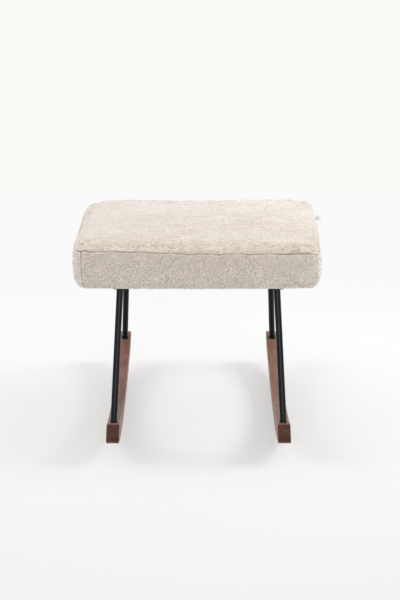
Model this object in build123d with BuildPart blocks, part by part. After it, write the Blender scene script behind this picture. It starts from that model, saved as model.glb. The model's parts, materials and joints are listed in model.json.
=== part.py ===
from build123d import *
import os
from math import asin, atan, cos, radians, sin, tan

# Rocking footstool. Millimetres, +Z up. The origin is on the floor at the middle of the stool:
# X runs across the seat, Y from front (-Y) to rear (+Y), along the rockers.

# ---- Rockers: two boards, each lying in the leaning plane of its side frame ----
rocker_thickness = 28.0
rocker_height = 44.0          # from sole to top, at the middle
rocker_top_radius = 850.0     # the arc of the top edge
rocker_half_run = 272.0       # from the middle to the top corner of an end, along Y
rocker_inset = 79.5           # from the side of the seat in to the middle of a sole, on the floor
rocker_toe_radius = 16.0      # rounding of an end's lower corner
rocker_nose_radius = 4.0      # rounding of an end's upper corner
rocker_edge_radius = 2.5      # rounding of the long edges
frame_lean = 3.0              # degrees that each side frame leans outward going down

# ---- Legs: steel tubes that stand square on the rockers' arcs ----
leg_diameter = 14.3
leg_wall = 1.5
leg_inset = 24.6              # from the end of a rocker back to the foot of a leg, along Y
collar_diameter = 16.4
collar_height = 4.5
collar_bevel = 0.4
collar_seat_clearance = 0.2   # round a collar in its spot-faced seat
plug_length = 20.0            # of the plug's shank, up inside the tube
plug_taper = 1.0              # degrees, to lead it in
plug_floor = 2.0              # of the shank, above the end of its thread
plug_clearance = 0.05         # between shank and tube, all round

# ---- Rails: flat steel bars, welded across the tops of the legs and bolted to the seat board ----
rail_width = 30.0
rail_thickness = 3.0
rail_overhang = 9.0           # past the axis of a leg's top
rail_corner_radius = 7.5
rail_bolt_inset = 34.0        # from the axis of a leg's top in to the nearest bolt
rail_bolt_pitch = 80.0        # between the two bolts of one end

# ---- Seat ----
seat_width = 530.0            # at its widest, over the pile
seat_depth = 388.0
underside_height = 358.0      # of the lining's lower face above the floor
seam_height = 441.0           # of the sewn top seam above the floor
crown_height = 14.0           # from the top seam to the middle of the seat
crown_fall_x = 3.0            # how much lower the crown is at the middle of a side
crown_fall_y = 2.5            # how much lower it is at the middle of the front and rear
crown_rim_radius = 7.0        # rounding of the top panel's rim
seat_corner_radius = 21.0     # of the widest outline's corners, in plan
widest_height = 48.0          # of the widest outline above the underside
hem_draw = 13.0               # how far the bands draw in from the widest outline down to the hem
hem_squareness = 2.5
seam_draw = 3.5               # how far the bands draw in from the widest outline up to the seam
front_bow = 3.5               # how far the front and rear outlines bow out in the middle
side_bow = 1.5
cover_thickness = 6.0         # cloth and pile
hem_thickness = 1.5           # the cloth folded under the board, pile pressed flat
hem_width = 30.0              # how far it is folded under
seam_crease = 1.0             # width and depth of each panel's share of a seam's crease
band_levels = 6               # sections that a band is lofted through, above the lowest

board_thickness = 12.0
board_inset = 24.0            # from the widest outline to the board's edge
board_corner_radius = 18.0
foam_headroom = 4.9           # from the top of the foam up to the height of the top seam
foam_edge_radius = 12.0
lining_thickness = 0.6
lining_inset = 8.0            # from the board's edge to the lining's edge

soft_clearance = 0.3          # between soft pieces that lie one inside another

# ---- Tag, a folded ribbon caught in the right-hand top seam ----
tag_width = 20.0              # along the seam
tag_reach = 13.0              # standing out of the seam
tag_thickness = 1.0
tag_y = 62.0                  # of its middle, behind the middle of the seat
tag_rise = 50.0               # degrees that it stands up out of the seam

# ---- Fasteners ----
thread_diameter = 6.0
thread_clearance = 0.1        # between a screw and its thread, all round
bolt_hole_diameter = 7.0
washer_diameter = 12.0
washer_hole_diameter = 6.4
washer_thickness = 1.6
hex_socket_depth = 2.0
rail_bolt_length = 20.0
rail_head_diameter = 10.5
rail_head_height = 3.3
rail_head_taper = 25.0        # degrees that the sides of a head draw in
rail_hex_width = 4.0
nut_flange_diameter = 19.0
nut_flange_thickness = 1.2
nut_barrel_diameter = 8.0
nut_barrel_length = 10.0
nut_clearance = 0.3           # between barrel and board
rocker_bolt_length = 45.0
rocker_head_diameter = 10.0
rocker_head_height = 6.0
rocker_hex_width = 5.0
counterbore_diameter = 14.0
rocker_grip = 29.0            # wood between a collar's seat and the counterbore's floor

# ---- Heights and places that follow ----
rail_underside = underside_height - rail_thickness
hem_underside = underside_height + lining_thickness
board_underside = hem_underside + hem_thickness
board_top = board_underside + board_thickness
foam_top = seam_height - foam_headroom
seam_rise = seam_height - underside_height

lean = radians(frame_lean)
rocker_floor_x = seat_width / 2 - rocker_inset
leg_foot_y = rocker_half_run - leg_inset
sole_radius = rocker_top_radius + rocker_height                # one centre for sole and top
foot_height = sole_radius - (rocker_top_radius**2 - leg_foot_y**2) ** 0.5
leg_angle = atan((leg_foot_y * cos(lean)) / (sole_radius - foot_height))   # from upright, in its frame
collar_sink = collar_diameter / 2 * tan(lean)                  # sets a collar level in the wood
leg_rise = (rail_underside - foot_height) / cos(lean)          # from foot to rail, up the side frame
leg_top_y = leg_foot_y - leg_rise * tan(leg_angle)
leg_length = leg_rise / cos(leg_angle)
rail_x = rocker_floor_x - (rail_underside + rail_thickness / 2) * tan(lean)
leg_bore = leg_diameter - 2 * leg_wall

sides = {"left": -1, "right": 1}
ends = {"front": -1, "rear": 1}
outer_bolt_y = leg_top_y - rail_bolt_inset
rail_bolt_rows = (outer_bolt_y - rail_bolt_pitch, outer_bolt_y)
board_size = (seat_width - 2 * board_inset, seat_depth - 2 * board_inset)


def side_frame(side):
    """The leaning plane of one side: x along the rocker, y up the frame, z outward."""
    return Plane(
        origin=(side * rocker_floor_x, 0, 0),
        x_dir=(0, side, 0),
        z_dir=(side * cos(lean), 0, sin(lean)),
    )


def leg_axis(side, end):
    """The plane of a collar's seat on the rocker, with z up the leg, square to the rocker's arc."""
    frame = side_frame(side)
    foot = frame.from_local_coords((side * end * leg_foot_y, foot_height / cos(lean), 0))
    centre = frame.from_local_coords((0, sole_radius / cos(lean), 0))
    return Plane(origin=foot, x_dir=frame.z_dir, z_dir=centre - foot).offset(-collar_sink)


leg_axes = {
    f"{end}_{side}": leg_axis(sides[side], ends[end]) for side in sides for end in ends
}


def save(part, name):
    part.label = name
    export_step(part, f"parts/{name}.step")
    print(f"{name}: {len(part.solids())} solid(s), {part.volume / 1000:.1f} cm3")


os.makedirs("parts", exist_ok=True)


# ---- Rockers ----
def make_rocker(side):
    """A sector of a ring, level across top and sole, with leaning cheeks, rounded and drilled."""
    frame = side_frame(side)
    end_angle = asin(rocker_half_run / rocker_top_radius)

    def on_arc(radius, angle):
        return (radius * sin(angle), sole_radius - radius * cos(angle))

    with BuildPart() as rocker:
        with BuildSketch(Plane.YZ.offset(side * rocker_floor_x)) as profile:
            with BuildLine():
                top_edge = ThreePointArc(
                    *[on_arc(rocker_top_radius, turn * end_angle) for turn in (-1, 0, 1)]
                )
                sole = ThreePointArc(*[on_arc(sole_radius, turn * end_angle) for turn in (-1, 0, 1)])
                Line(top_edge @ 0, sole @ 0)
                Line(top_edge @ 1, sole @ 1)
            make_face()
            fillet(profile.vertices().sort_by(Axis.Y)[:2], rocker_toe_radius)
            fillet(profile.vertices().sort_by(Axis.Y)[-2:], rocker_nose_radius)
        extrude(amount=rocker_height, both=True)
        split(bisect_by=frame.offset(rocker_thickness / 2), keep=Keep.BOTTOM)
        split(bisect_by=frame.offset(-rocker_thickness / 2), keep=Keep.TOP)
        cheeks = rocker.faces().filter_by(lambda face: abs(face.normal_at().dot(frame.z_dir)) > 0.999)
        fillet(cheeks.edges(), rocker_edge_radius)
        for end in ends.values():
            axis = leg_axis(side, end)
            with BuildSketch(axis):
                Circle(collar_diameter / 2 + collar_seat_clearance)
            extrude(amount=collar_height, mode=Mode.SUBTRACT)
            with BuildSketch(axis):
                Circle(bolt_hole_diameter / 2)
            extrude(amount=-rocker_grip, mode=Mode.SUBTRACT)
            with BuildSketch(axis.offset(-rocker_grip)):
                Circle(counterbore_diameter / 2)
            extrude(amount=-rocker_height, mode=Mode.SUBTRACT)
    return rocker.part


for side, sign in sides.items():
    save(make_rocker(sign), f"rocker_{side}")

# ---- Leg tubes: square below, mitred to the level rail above ----
for name, axis in leg_axes.items():
    with BuildPart() as leg:
        with BuildSketch(axis.offset(collar_height)):
            Circle(leg_diameter / 2)
            Circle(leg_bore / 2, mode=Mode.SUBTRACT)
        extrude(amount=leg_length + leg_diameter)
        split(bisect_by=Plane.XY.offset(rail_underside), keep=Keep.BOTTOM)
    save(leg.part, f"leg_{name}")

# ---- Plugs: a flange that shows as a collar, and a tapped shank inside the tube ----
for name, axis in leg_axes.items():
    shank_radius = leg_bore / 2 - plug_clearance
    with BuildPart() as plug:
        with BuildSketch(axis):
            Circle(collar_diameter / 2)
        extrude(amount=collar_height)
        chamfer(plug.edges().filter_by(GeomType.CIRCLE), collar_bevel)
        with BuildSketch(axis.offset(collar_height)):
            Circle(shank_radius)
        extrude(amount=plug_length, taper=plug_taper)
        with BuildSketch(axis):
            Circle(thread_diameter / 2 + thread_clearance)
        extrude(amount=collar_height + plug_length - plug_floor, mode=Mode.SUBTRACT)
    save(plug.part, f"plug_{name}")

# ---- Rocker bolts and washers, up the axis of each leg ----
with BuildPart() as rocker_washers:
    for axis in leg_axes.values():
        with BuildSketch(axis.offset(-rocker_grip)):
            Circle(washer_diameter / 2)
            Circle(washer_hole_diameter / 2, mode=Mode.SUBTRACT)
        extrude(amount=-washer_thickness)
save(rocker_washers.part, "rocker_washers")

with BuildPart() as rocker_bolts:
    for axis in leg_axes.values():
        seat = axis.offset(-rocker_grip - washer_thickness)
        with BuildSketch(seat):
            Circle(thread_diameter / 2)
        extrude(amount=rocker_bolt_length)
        with BuildSketch(seat):
            Circle(rocker_head_diameter / 2)
        extrude(amount=-rocker_head_height)
        with BuildSketch(seat.offset(-rocker_head_height)):
            RegularPolygon(rocker_hex_width / 2, 6, major_radius=False)
        extrude(amount=hex_socket_depth, mode=Mode.SUBTRACT)
save(rocker_bolts.part, "rocker_bolts")

# ---- Rails ----
for side, sign in sides.items():
    with BuildPart() as rail:
        with BuildSketch(Plane.XY.offset(rail_underside)):
            with Locations((sign * rail_x, 0)):
                RectangleRounded(rail_width, 2 * (leg_top_y + rail_overhang), rail_corner_radius)
                for row in rail_bolt_rows:
                    with GridLocations(0, 2 * row, 1, 2):
                        Circle(bolt_hole_diameter / 2, mode=Mode.SUBTRACT)
        extrude(amount=rail_thickness)
    save(rail.part, f"rail_{side}")


def at_rail_bolts():
    """The places of all the rail bolts in plan."""
    return [
        location
        for row in rail_bolt_rows
        for location in GridLocations(2 * rail_x, 2 * row, 2, 2)
    ]


# ---- Rail bolts, washers and tee nuts ----
with BuildPart() as rail_washers:
    with BuildSketch(Plane.XY.offset(rail_underside - washer_thickness)):
        with Locations(*at_rail_bolts()):
            Circle(washer_diameter / 2)
            Circle(washer_hole_diameter / 2, mode=Mode.SUBTRACT)
    extrude(amount=washer_thickness)
save(rail_washers.part, "rail_washers")

bolt_seat = rail_underside - washer_thickness
with BuildPart() as rail_bolts:
    with BuildSketch(Plane.XY.offset(bolt_seat)):
        with Locations(*at_rail_bolts()):
            Circle(thread_diameter / 2)
    extrude(amount=rail_bolt_length)
    with BuildSketch(Plane.XY.offset(bolt_seat)):
        with Locations(*at_rail_bolts()):
            Circle(rail_head_diameter / 2)
    extrude(amount=-rail_head_height, taper=rail_head_taper)
    with BuildSketch(Plane.XY.offset(bolt_seat - rail_head_height)):
        with Locations(*at_rail_bolts()):
            RegularPolygon(rail_hex_width / 2, 6, major_radius=False)
    extrude(amount=hex_socket_depth, mode=Mode.SUBTRACT)
save(rail_bolts.part, "rail_bolts")

with BuildPart() as tee_nuts:
    with BuildSketch(Plane.XY.offset(board_top)):
        with Locations(*at_rail_bolts()):
            Circle(nut_flange_diameter / 2)
    extrude(amount=nut_flange_thickness)
    with BuildSketch(Plane.XY.offset(board_top)):
        with Locations(*at_rail_bolts()):
            Circle(nut_barrel_diameter / 2)
    extrude(amount=-nut_barrel_length)
    with BuildSketch(Plane.XY.offset(board_top + nut_flange_thickness)):
        with Locations(*at_rail_bolts()):
            Circle(thread_diameter / 2 + thread_clearance)
    extrude(amount=-nut_flange_thickness - nut_barrel_length, mode=Mode.SUBTRACT)
save(tee_nuts.part, "tee_nuts")

# ---- Seat board and lining ----
with BuildPart() as seat_board:
    with BuildSketch(Plane.XY.offset(board_underside)):
        RectangleRounded(*board_size, board_corner_radius)
        with Locations(*at_rail_bolts()):
            Circle(nut_barrel_diameter / 2 + nut_clearance, mode=Mode.SUBTRACT)
    extrude(amount=board_thickness)
save(seat_board.part, "seat_board")

with BuildPart() as underside_lining:
    with BuildSketch(Plane.XY.offset(underside_height)):
        RectangleRounded(
            board_size[0] - 2 * lining_inset,
            board_size[1] - 2 * lining_inset,
            board_corner_radius,
        )
        with Locations(*at_rail_bolts()):
            Circle(bolt_hole_diameter / 2, mode=Mode.SUBTRACT)
    extrude(amount=lining_thickness)
save(underside_lining.part, "underside_lining")

# ---- Foam block, with a pocket over each tee nut ----
with BuildPart() as seat_foam:
    with BuildSketch(Plane.XY.offset(board_top)):
        RectangleRounded(*board_size, board_corner_radius)
    extrude(amount=foam_top - board_top)
    fillet(seat_foam.faces().sort_by(Axis.Z)[-1].edges(), foam_edge_radius)
    with BuildSketch(Plane.XY.offset(board_top)):
        with Locations(*at_rail_bolts()):
            Circle(nut_flange_diameter / 2 + soft_clearance)
    extrude(amount=nut_flange_thickness + soft_clearance, mode=Mode.SUBTRACT)
save(seat_foam.part, "seat_foam")


# ---- The padded form: bands that bulge between hem and seam, and a crowned top ----
def outline(height, inset):
    """One level outline of the padded form, its sides bowed and its corners rounded."""
    half_x = seat_width / 2 - inset
    half_y = seat_depth / 2 - inset
    corner_x = half_x - side_bow
    corner_y = half_y - front_bow
    with BuildSketch(Plane.XY.offset(height)) as level:
        with BuildLine():
            ThreePointArc((-corner_x, -corner_y), (0, -half_y), (corner_x, -corner_y))
            ThreePointArc((corner_x, -corner_y), (half_x, 0), (corner_x, corner_y))
            ThreePointArc((corner_x, corner_y), (0, half_y), (-corner_x, corner_y))
            ThreePointArc((-corner_x, corner_y), (-half_x, 0), (-corner_x, -corner_y))
        make_face()
        fillet(level.vertices(), seat_corner_radius)
    return level.sketch.face()


def band_inset(height):
    """How far the bands draw in at a height above the floor."""
    rise = height - underside_height
    if rise < widest_height:
        return hem_draw * (1 - rise / widest_height) ** hem_squareness
    return seam_draw * ((rise - widest_height) / (seam_rise - widest_height)) ** 2


def padded_form(shrink, bottom, sewn):
    """The padded form from bottom upward, shrunk on its sides and top.

    The sewn form is the one seen from outside, with a crease along its top seam and a round rim.
    """
    crease = seam_crease if sewn else 0
    band_top = seam_height - crease
    crown_base = seam_height + crease
    top = seam_height + crown_height - shrink
    reach = seat_width / 2
    bend_radius = (seat_depth / 2) ** 2 / (2 * crown_fall_y)
    levels = [bottom + (band_top - bottom) * step / band_levels for step in range(band_levels + 1)]
    with BuildPart() as crown:
        add(outline(crown_base, shrink + seam_draw))
        extrude(amount=2 * crown_height, dir=(0, 0, 1))
        with BuildSketch(Plane.XY.offset(top - bend_radius)):
            with BuildLine():
                rim = bend_radius - crown_fall_x
                ThreePointArc((-reach, rim), (0, bend_radius), (reach, rim))
                Polyline((-reach, rim), (-reach, rim - seam_rise), (reach, rim - seam_rise), (reach, rim))
            make_face()
        revolve(axis=Axis((0, 0, top - bend_radius), (1, 0, 0)), mode=Mode.INTERSECT)
        if sewn:
            fillet(crown.faces().sort_by(Axis.Z)[-1].edges(), crown_rim_radius)
    with BuildPart() as form:
        loft([outline(level, shrink + band_inset(level)) for level in levels])
        if sewn:
            seam_line = outline(seam_height, seam_draw + crease)
            loft([outline(band_top, band_inset(band_top)), seam_line])
            loft([seam_line, outline(crown_base, seam_draw)])
        add(crown.part)
    return form.part


# ---- Cover: one shell over the padding, its hem folded under the board, cut into its sewn panels ----
hem_opening = (
    seat_width - 2 * (hem_draw + hem_width),
    seat_depth - 2 * (hem_draw + hem_width),
)
with BuildPart() as cover:
    add(padded_form(0, hem_underside, True))
    add(padded_form(cover_thickness, board_underside, False), mode=Mode.SUBTRACT)
    with BuildSketch(Plane.XY.offset(hem_underside)):
        Rectangle(*hem_opening)
    extrude(amount=hem_thickness, mode=Mode.SUBTRACT)

seam_x = seat_width / 2 - side_bow - seat_corner_radius        # of the upright seams
seam_end_y = seat_depth / 2 - hem_draw - 2 * cover_thickness   # inside the wall, where a mitre starts


def band_region(end):
    """What belongs to the front or rear band in plan: its wall, and its hem down to the mitres."""
    half_x = hem_opening[0] / 2
    with BuildSketch(Plane.XY.offset(hem_underside)) as region:
        with BuildLine():
            Polyline(
                (-seam_x, end * seat_depth),
                (seam_x, end * seat_depth),
                (seam_x, end * seam_end_y),
                (half_x, end * hem_opening[1] / 2),
                (-half_x, end * hem_opening[1] / 2),
                (-seam_x, end * seam_end_y),
                close=True,
            )
        make_face()
    return region.sketch


def is_upright_seam(edge):
    """Whether a band's edge lies on the outside of the cover, at the end of the front or rear."""
    middle = edge @ 0.5
    wall_middle = seat_depth / 2 - front_bow - band_inset(middle.Z) - cover_thickness / 2
    on_end = abs(abs(middle.X) - seam_x) < 0.01 and abs((edge % 0.5).Z) > 0.5
    return on_end and abs(middle.Y) > wall_middle


with BuildPart() as cover_top:
    add(cover.part)
    split(bisect_by=Plane.XY.offset(seam_height), keep=Keep.TOP)
save(cover_top.part, "cover_top")

for end_name, end in ends.items():
    with BuildPart() as cover_band:
        add(cover.part)
        split(bisect_by=Plane.XY.offset(seam_height), keep=Keep.BOTTOM)
        extrude(band_region(end), amount=seam_rise, mode=Mode.INTERSECT)
        chamfer(cover_band.edges().filter_by(is_upright_seam), seam_crease)
    save(cover_band.part, f"cover_{end_name}")

side_bands = {}
for side_name, side in sides.items():
    with BuildPart() as cover_band:
        add(cover.part)
        split(bisect_by=Plane.XY.offset(seam_height), keep=Keep.BOTTOM)
        split(bisect_by=Plane.YZ, keep=Keep.TOP if side > 0 else Keep.BOTTOM)
        for end in ends.values():
            extrude(band_region(end), amount=seam_rise, mode=Mode.SUBTRACT)
        chamfer(cover_band.edges().filter_by(is_upright_seam), seam_crease)
    save(cover_band.part, f"cover_{side_name}")
    side_bands[side_name] = cover_band.part

# ---- Wadding: wraps the foam and the board's edge, and fills the crown ----
with BuildPart() as seat_wadding:
    add(padded_form(cover_thickness + soft_clearance, board_underside, False))
    with BuildSketch(Plane.XY.offset(board_underside)):
        RectangleRounded(
            board_size[0] + 2 * soft_clearance,
            board_size[1] + 2 * soft_clearance,
            board_corner_radius + soft_clearance,
        )
    extrude(amount=foam_top + soft_clearance - board_underside, mode=Mode.SUBTRACT)
save(seat_wadding.part, "seat_wadding")

# ---- Tag: a ribbon caught in the right-hand top seam, standing out and up ----
tag_root_x = seat_width / 2 - seam_draw - cover_thickness / 2  # inside the cover's wall
tag_tilt = radians(tag_rise)
with BuildPart() as side_tag:
    tag_plane = Plane(
        origin=(tag_root_x, tag_y, seam_height),
        x_dir=(0, 1, 0),
        z_dir=(-sin(tag_tilt), 0, cos(tag_tilt)),
    )
    with BuildSketch(tag_plane):
        Rectangle(tag_width, 2 * (tag_reach + cover_thickness / 2))
    extrude(amount=tag_thickness / 2, both=True)
    split(bisect_by=Plane.YZ.offset(tag_root_x), keep=Keep.TOP)
    add(cover_top.part, mode=Mode.SUBTRACT)
    add(side_bands["right"], mode=Mode.SUBTRACT)
save(side_tag.part, "side_tag")
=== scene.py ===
# %% [markdown]
# # A rocking footstool with a plush seat
# The stool is a padded box seat on four slim steel legs, which stand on two curved walnut boards.
# The rigid parts come in as a fixed frame, in metres, with the origin on the floor under the seat.
# This lesson dresses that frame: it gives each rigid part its finish, and it models the soft parts,
# which are the plush cover, its pile, the padding, the lining and the tag.

# %% Load the frame
import json
from math import cos, pi, radians, sin

import bpy
import numpy as np
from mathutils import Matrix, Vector


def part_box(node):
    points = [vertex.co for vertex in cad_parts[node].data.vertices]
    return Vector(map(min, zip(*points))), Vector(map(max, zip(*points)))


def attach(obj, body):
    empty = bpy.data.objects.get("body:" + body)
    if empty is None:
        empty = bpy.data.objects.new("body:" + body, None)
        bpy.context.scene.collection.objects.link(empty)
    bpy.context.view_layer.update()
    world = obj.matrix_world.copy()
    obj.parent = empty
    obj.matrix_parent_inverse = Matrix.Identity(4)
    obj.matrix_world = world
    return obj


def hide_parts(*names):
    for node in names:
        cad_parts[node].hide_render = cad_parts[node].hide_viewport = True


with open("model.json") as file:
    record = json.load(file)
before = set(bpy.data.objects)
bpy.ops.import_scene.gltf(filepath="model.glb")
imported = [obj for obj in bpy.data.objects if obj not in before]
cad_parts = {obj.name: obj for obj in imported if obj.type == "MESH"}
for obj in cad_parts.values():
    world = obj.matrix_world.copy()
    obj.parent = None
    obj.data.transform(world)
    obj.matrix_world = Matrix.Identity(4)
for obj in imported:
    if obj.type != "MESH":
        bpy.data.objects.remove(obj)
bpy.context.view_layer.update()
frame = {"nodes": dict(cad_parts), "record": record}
MM = 0.001


# %% Helpers for objects
def new_object(name, data):
    """An object at the origin, linked to the scene."""
    made = bpy.data.objects.new(name, data)
    bpy.context.scene.collection.objects.link(made)
    return made


def mesh_object(name, points, faces=(), edges=()):
    """A mesh object from points, faces and edges."""
    mesh = bpy.data.meshes.new(name)
    mesh.from_pydata(np.asarray(points, float).tolist(), edges, faces)
    mesh.update()
    return new_object(name, mesh)


# %% [markdown]
# ## Camera
# A product photographer stood a good three metres away and looked down a little, with a long lens,
# so the legs hardly converge. The lens is worked out from the image's height, because the sensor's
# 36 mm lie along the long side of an upright picture.

# %% Place the camera
IMAGE_HEIGHT = 600
SENSOR = 36
focal_pixels = 1417
look_down = radians(20.04)
turn = radians(0.05)
camera_distance = 3.0035
camera_height = 1.364
picture_shift = 3.4 * MM      # moves the stool nearly two pixels left of the middle

camera = new_object("camera", bpy.data.cameras.new("camera"))
camera.data.sensor_width = SENSOR
camera.data.lens = focal_pixels / IMAGE_HEIGHT * SENSOR
camera.location = (
    -camera_distance * sin(turn) + picture_shift,
    -camera_distance * cos(turn),
    camera_height,
)
camera.rotation_euler = (pi / 2 - look_down, 0, -turn)
bpy.context.scene.camera = camera
print("camera: lens", round(camera.data.lens, 2), "mm")

# %% [markdown]
# ## Nodes in a few words
# Every finish below is a small tree of nodes. One helper adds a node and fills its inputs, by a
# value or by a link, and one starts a material and hands back its shader. The others are the few
# patterns and sums that the finishes share. Patterns read Object coordinates, which move with the
# piece.


# %% Helpers for node trees
def add_node(tree, kind, inputs=None, **settings):
    """Adds a node, with its settings, and inputs given as values or as sockets to link."""
    made = tree.nodes.new(kind)
    for name, value in settings.items():
        setattr(made, name, value)
    for name, value in (inputs or {}).items():
        found = [s for s in made.inputs if s.identifier == name] or [made.inputs[name]]
        if isinstance(value, bpy.types.NodeSocket):
            tree.links.new(value, found[0])
        else:
            found[0].default_value = value
    return made


def new_material(name, **shader_inputs):
    """A material, its tree and its shader, with the shader's constant inputs set."""
    material = bpy.data.materials.new(name)
    material.use_nodes = True
    tree = material.node_tree
    shader = tree.nodes["Principled BSDF"]
    for words, value in shader_inputs.items():
        shader.inputs[words.replace("_", " ")].default_value = value
    return material, tree, shader


def feed(tree, shader, **sockets):
    """Links patterns to the shader's inputs."""
    for words, socket in sockets.items():
        tree.links.new(socket, shader.inputs[words.replace("_", " ")])


def object_coordinates(tree, stretch=(1, 1, 1)):
    """The piece's own coordinates in metres, stretched by a scale on each axis."""
    place = add_node(tree, "ShaderNodeTexCoord").outputs["Object"]
    inputs = {"Vector": place, "Scale": stretch}
    return add_node(tree, "ShaderNodeMapping", inputs).outputs["Vector"]


def noise(tree, scale, detail=2.0, roughness=0.5, distortion=0.0, stretch=(1, 1, 1)):
    """A cloudy pattern from 0 to 1."""
    inputs = {
        "Vector": object_coordinates(tree, stretch),
        "Scale": scale,
        "Detail": detail,
        "Roughness": roughness,
        "Distortion": distortion,
    }
    return add_node(tree, "ShaderNodeTexNoise", inputs).outputs["Fac"]


def cells(tree, scale, randomness=1.0, stretch=(1, 1, 1)):
    """A pattern of round cells, 0 in the middle of each."""
    place = object_coordinates(tree, stretch)
    inputs = {"Vector": place, "Scale": scale, "Randomness": randomness}
    return add_node(tree, "ShaderNodeTexVoronoi", inputs).outputs["Distance"]


def attribute(tree, name):
    """A number that the piece's points remember."""
    return add_node(tree, "ShaderNodeAttribute", attribute_name=name).outputs["Fac"]


def ramp(tree, factor, *stops):
    """Turns a pattern into colours: stops are pairs of place and colour."""
    made = add_node(tree, "ShaderNodeValToRGB", {"Fac": factor})
    elements = made.color_ramp.elements
    while len(elements) < len(stops):
        elements.new(0.5)
    for element, (place, colour) in zip(elements, stops):
        element.position = place
        element.color = (*colour, 1)
    return made.outputs["Color"]


def mix_colours(tree, factor, first, second, way="MIX"):
    """Mixes two colours, each a socket or three numbers."""
    first, second = [c if isinstance(c, bpy.types.NodeSocket) else (*c, 1) for c in (first, second)]
    inputs = {"Factor_Float": factor, "A_Color": first, "B_Color": second}
    made = add_node(tree, "ShaderNodeMix", inputs, data_type="RGBA", blend_type=way)
    return next(s for s in made.outputs if s.identifier == "Result_Color")


def multiply(tree, first, *others):
    """Multiplies colours, one after the other."""
    for other in others:
        first = mix_colours(tree, 1.0, first, other, "MULTIPLY")
    return first


def calculate(tree, operation, first, *others):
    """A chain of sums on values or sockets."""
    for other in others or (0.0,):
        made = add_node(tree, "ShaderNodeMath", {0: first, 1: other}, operation=operation)
        first = made.outputs[0]
    return first


def map_range(tree, value, start, stop, low=0.0, high=1.0, way="LINEAR"):
    """Turns the run from start to stop into the run from low to high."""
    inputs = {"Value": value, "From Min": start, "From Max": stop, "To Min": low, "To Max": high}
    return add_node(tree, "ShaderNodeMapRange", inputs, interpolation_type=way).outputs["Result"]


def axis_of(tree, vector, axis):
    """One coordinate of a vector."""
    return add_node(tree, "ShaderNodeSeparateXYZ", {"Vector": vector}).outputs[axis]


def facing(tree, axis):
    """How squarely the surface faces along an axis, from 0 to 1."""
    normal = add_node(tree, "ShaderNodeNewGeometry").outputs["Normal"]
    return calculate(tree, "ABSOLUTE", axis_of(tree, normal, axis))


def bump(tree, height, strength, distance):
    """The normal of a relief from a height pattern. The distance is in metres."""
    inputs = {"Height": height, "Strength": strength, "Distance": distance}
    return add_node(tree, "ShaderNodeBump", inputs).outputs["Normal"]


def grey(level):
    """A colour without a hue."""
    return (level, level, level)


WHITE = grey(1.0)
print("helpers ready")

# %% [markdown]
# ## Studio
# The stool stands on a white sweep: floor and wall are one paper, with a faint change of tone where
# it curves up. The floor is painted a little darker towards the front and lighter towards the rear,
# as painted light that falls off towards the camera. Near the stool the paper is a matt sheet that
# takes the shadows. Further off, where the lamps no longer reach, camera rays and reflections see
# the same white as a glow of the paper's own. The light that the paper throws back on the stool is
# a little weaker than it looks.

# %% Lay the floor
floor_half = 40.0
sweep_start, sweep_end = 1.84, 1.91   # metres behind the stool, where the paper curves up
front_floor_shade, rear_floor_light = grey(0.885), grey(0.955)
near_line, far_line = -0.5, 0.6       # where the floor has the one and the other, front to rear
wall_white = (0.95, 0.945, 0.915)
floor_bounce = grey(0.80)
glow_from, glow_full = 0.35, 1.1      # metres from the stool
glow_near = 0.46                      # share of the glow under and beside the stool

corners = np.array([(-1, -1, 0), (1, -1, 0), (1, 1, 0), (-1, 1, 0)]) * floor_half
floor = mesh_object("floor", corners, [(0, 1, 2, 3)])


def seen_directly(tree):
    """1 for a ray from the camera or from a reflection, and 0 for a ray of soft light."""
    rays = add_node(tree, "ShaderNodeLightPath").outputs
    direct = [rays["Is " + kind + " Ray"] for kind in ("Camera", "Glossy", "Transmission")]
    return calculate(tree, "MAXIMUM", *direct)


paper, tree, shader = new_material("studio_paper", Roughness=1.0, Specular_IOR_Level=0.0)
place = object_coordinates(tree)
depth = axis_of(tree, place, "Y")
# Painted light: the floor is darker towards the front and lighter towards the rear.
painted_light_to_rear = map_range(tree, depth, near_line, far_line)
up_the_sweep = map_range(tree, depth, sweep_start, sweep_end, way="SMOOTHSTEP")
floor_with_painted_falloff = mix_colours(tree, painted_light_to_rear, front_floor_shade, rear_floor_light)
paper_white = mix_colours(tree, up_the_sweep, floor_with_painted_falloff, wall_white)
seen = seen_directly(tree)
away = add_node(tree, "ShaderNodeVectorMath", {0: place}, operation="LENGTH").outputs["Value"]
fade = map_range(tree, away, glow_from, glow_full, glow_near, way="SMOOTHSTEP")
glow = add_node(tree, "ShaderNodeEmission", {"Color": paper_white, "Strength": 1.0})
feed(tree, shader, Base_Color=mix_colours(tree, seen, floor_bounce, floor_with_painted_falloff))
layers = {
    0: calculate(tree, "MULTIPLY", seen, fade),
    1: shader.outputs["BSDF"],
    2: glow.outputs["Emission"],
}
sheet = add_node(tree, "ShaderNodeMixShader", layers).outputs["Shader"]
tree.links.new(sheet, tree.nodes["Material Output"].inputs["Surface"])
floor.data.materials.append(paper)
print("floor laid, sweep from", sweep_start, "m")

# %% [markdown]
# ## Light
# The top of the seat is bright, its front is darker and both ends catch some light, so the light
# comes from a wide softbox overhead, a little behind the stool, from one at each side and from one
# beside the camera. The world fills in all round. Their strengths are set so that a colour renders
# about as it is written: a sheet of white paper under them would be just white.

# %% Hang the lamps
fill_light = (0.47, 0.467, 0.46)
world = bpy.data.worlds.new("studio")
bpy.context.scene.world = world
world.use_nodes = True
tree = world.node_tree
all_round = mix_colours(tree, seen_directly(tree), fill_light, wall_white)
tree.links.new(all_round, tree.nodes["Background"].inputs["Color"])

aim = Vector((0, 0, 0.2))     # below the seat
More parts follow.
